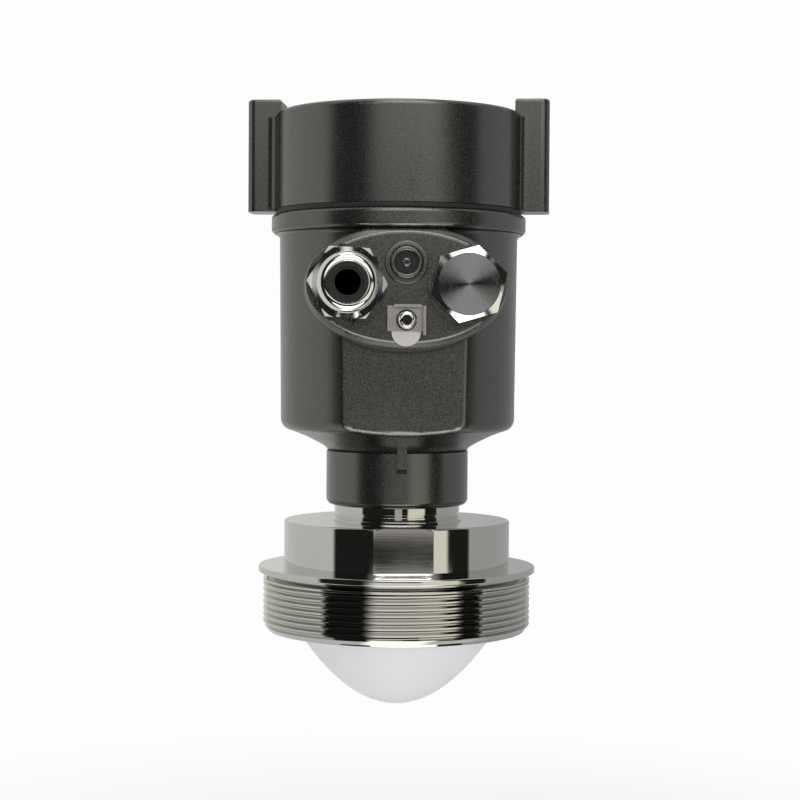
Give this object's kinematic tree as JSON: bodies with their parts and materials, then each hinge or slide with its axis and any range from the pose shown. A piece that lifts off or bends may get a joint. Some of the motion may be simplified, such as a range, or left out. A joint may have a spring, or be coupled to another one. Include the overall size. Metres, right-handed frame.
{
  "type": "radar level gauge",
  "caption": "Radar level gauge with a threaded process fitting, a white lens antenna and a swivelling grey housing with screw cap, cable gland, blanking plug and earth terminal.",
  "frame": {"origin": "centre of the sealing face under the process fitting's rim, on the thread's axis", "axes": "+Z from the process thread up to the cap; -Y to the front, where the cable ports are"},
  "size_m": [0.1132, 0.1209, 0.2267],
  "materials": {
    "stainless": "satin",
    "lens_ptfe": "matte",
    "seal_rubber": "satin",
    "horn_metal": "satin",
    "circuit_board": "satin",
    "small_screws": "satin",
    "housing_paint": "satin",
    "black_steel": "satin",
    "potting_plastic": "matte",
    "terminal_plastic": "matte",
    "display_plastic": "matte",
    "display_lcd": "gloss",
    "window_glass": "gloss",
    "button_rubber": "matte",
    "nickel_brass": "polished",
    "claw_plastic": "matte",
    "clamp_steel": "satin"
  },
  "bodies": {
    "fitting": {"process_fitting": "stainless", "antenna_lens": "lens_ptfe", "lens_seal_ring": "seal_rubber", "feed_horn": "horn_metal", "radar_board": "circuit_board", "radar_board_screws": "small_screws", "cable_feedthrough": "potting_plastic", "swivel_seals": "seal_rubber", "swivel_retaining_ring": "small_screws"},
    "housing": {"housing_casting": "housing_paint", "neck_lock_screw": "black_steel", "electronics_insert": "potting_plastic", "main_board": "circuit_board", "main_board_screws": "small_screws", "terminal_block": "terminal_plastic", "terminal_screws": "small_screws", "display_carrier": "display_plastic", "display_board": "circuit_board", "display_panel": "display_lcd", "display_glass": "window_glass", "display_screws": "small_screws", "gland_o_ring": "seal_rubber", "gland_body": "nickel_brass", "gland_dome_nut": "nickel_brass", "gland_claw": "claw_plastic", "gland_seal_insert": "seal_rubber", "plug_o_ring": "seal_rubber", "blanking_plug": "nickel_brass", "vent_body": "housing_paint", "vent_pin": "clamp_steel", "earth_tab": "clamp_steel", "earth_clamp": "clamp_steel", "earth_spring_washer": "black_steel", "earth_screw": "clamp_steel"},
    "cap_seal": {"cap_seal_ring": "seal_rubber"},
    "cap": {"screw_cap": "housing_paint"},
    "button_1": {"display_button_1": "button_rubber"},
    "button_2": {"display_button_2": "button_rubber"},
    "button_3": {"display_button_3": "button_rubber"},
    "button_4": {"display_button_4": "button_rubber"}
  },
  "joints": [
    {"name": "housing_swivel", "type": "hinge", "parent": "fitting", "child": "housing", "pos_m": [0, 0, 0.035], "axis": [0, 0, 1], "range_deg": [-165, 165]},
    {"name": "cap_lift", "type": "slide", "parent": "housing", "child": "cap_seal", "axis": [0, 0, 1], "range_m": [0, 0.014]},
    {"name": "cap_turn", "type": "hinge", "parent": "cap_seal", "child": "cap", "pos_m": [0, 0, 0.153], "axis": [0, 0, 1], "range_deg": [0, 2520]},
    {"name": "button_1_press", "type": "slide", "parent": "housing", "child": "button_1", "axis": [0, 0, -1], "range_m": [0, 0.0005], "stiffness_N_per_m": 1500, "springref_m": -0.0003},
    {"name": "button_2_press", "type": "slide", "parent": "housing", "child": "button_2", "axis": [0, 0, -1], "range_m": [0, 0.0005], "stiffness_N_per_m": 1500, "springref_m": -0.0003},
    {"name": "button_3_press", "type": "slide", "parent": "housing", "child": "button_3", "axis": [0, 0, -1], "range_m": [0, 0.0005], "stiffness_N_per_m": 1500, "springref_m": -0.0003},
    {"name": "button_4_press", "type": "slide", "parent": "housing", "child": "button_4", "axis": [0, 0, -1], "range_m": [0, 0.0005], "stiffness_N_per_m": 1500, "springref_m": -0.0003}
  ],
  "couplings": [
    {"joint": "cap_lift", "follows": "cap_turn", "m_per_rad": 0.0003183}
  ]
}
